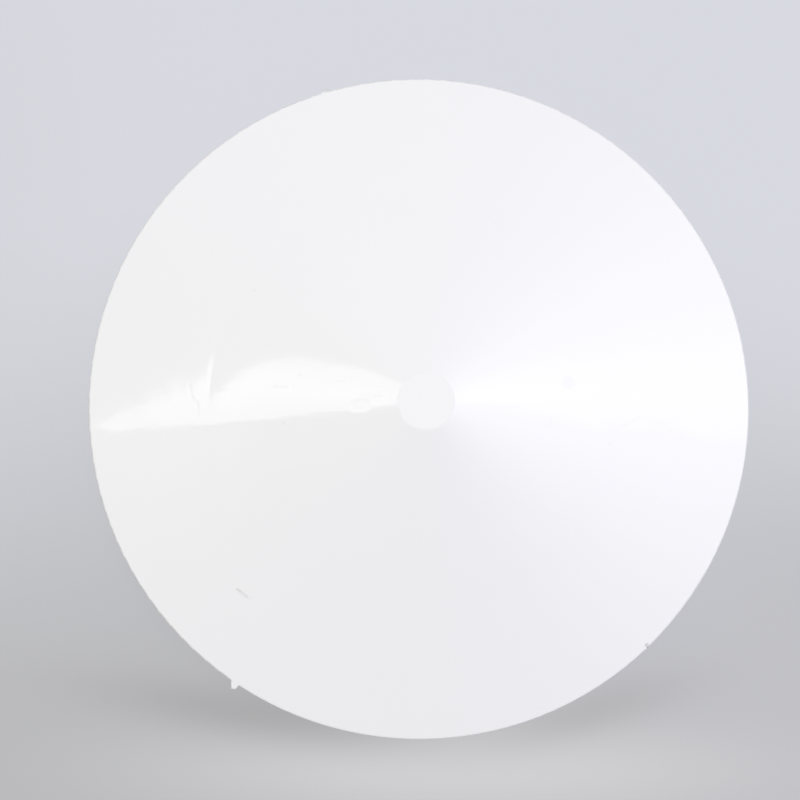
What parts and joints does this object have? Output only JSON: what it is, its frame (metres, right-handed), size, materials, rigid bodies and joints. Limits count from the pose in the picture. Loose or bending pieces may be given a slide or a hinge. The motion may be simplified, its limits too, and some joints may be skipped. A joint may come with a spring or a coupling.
{
  "type": "vent pipe cap",
  "caption": "One-piece white plastic cap for a vent stack: a socket for the pipe's end, a slotted cage that lets the air out, and a wide conical rain roof.",
  "frame": {"origin": "centre of the socket's mouth, where the cap's axis meets the plane it stands on", "axes": "+Z along the pipe's axis, from the socket up to the roof's apex; +X is the picture's right and +Y its top, seen from above the roof"},
  "size_m": [0.17, 0.17, 0.1236],
  "materials": {
    "pvc": "glossy moulded white PVC-U"
  },
  "bodies": {
    "root": {"vent_cap": "pvc"}
  },
  "joints": []
}
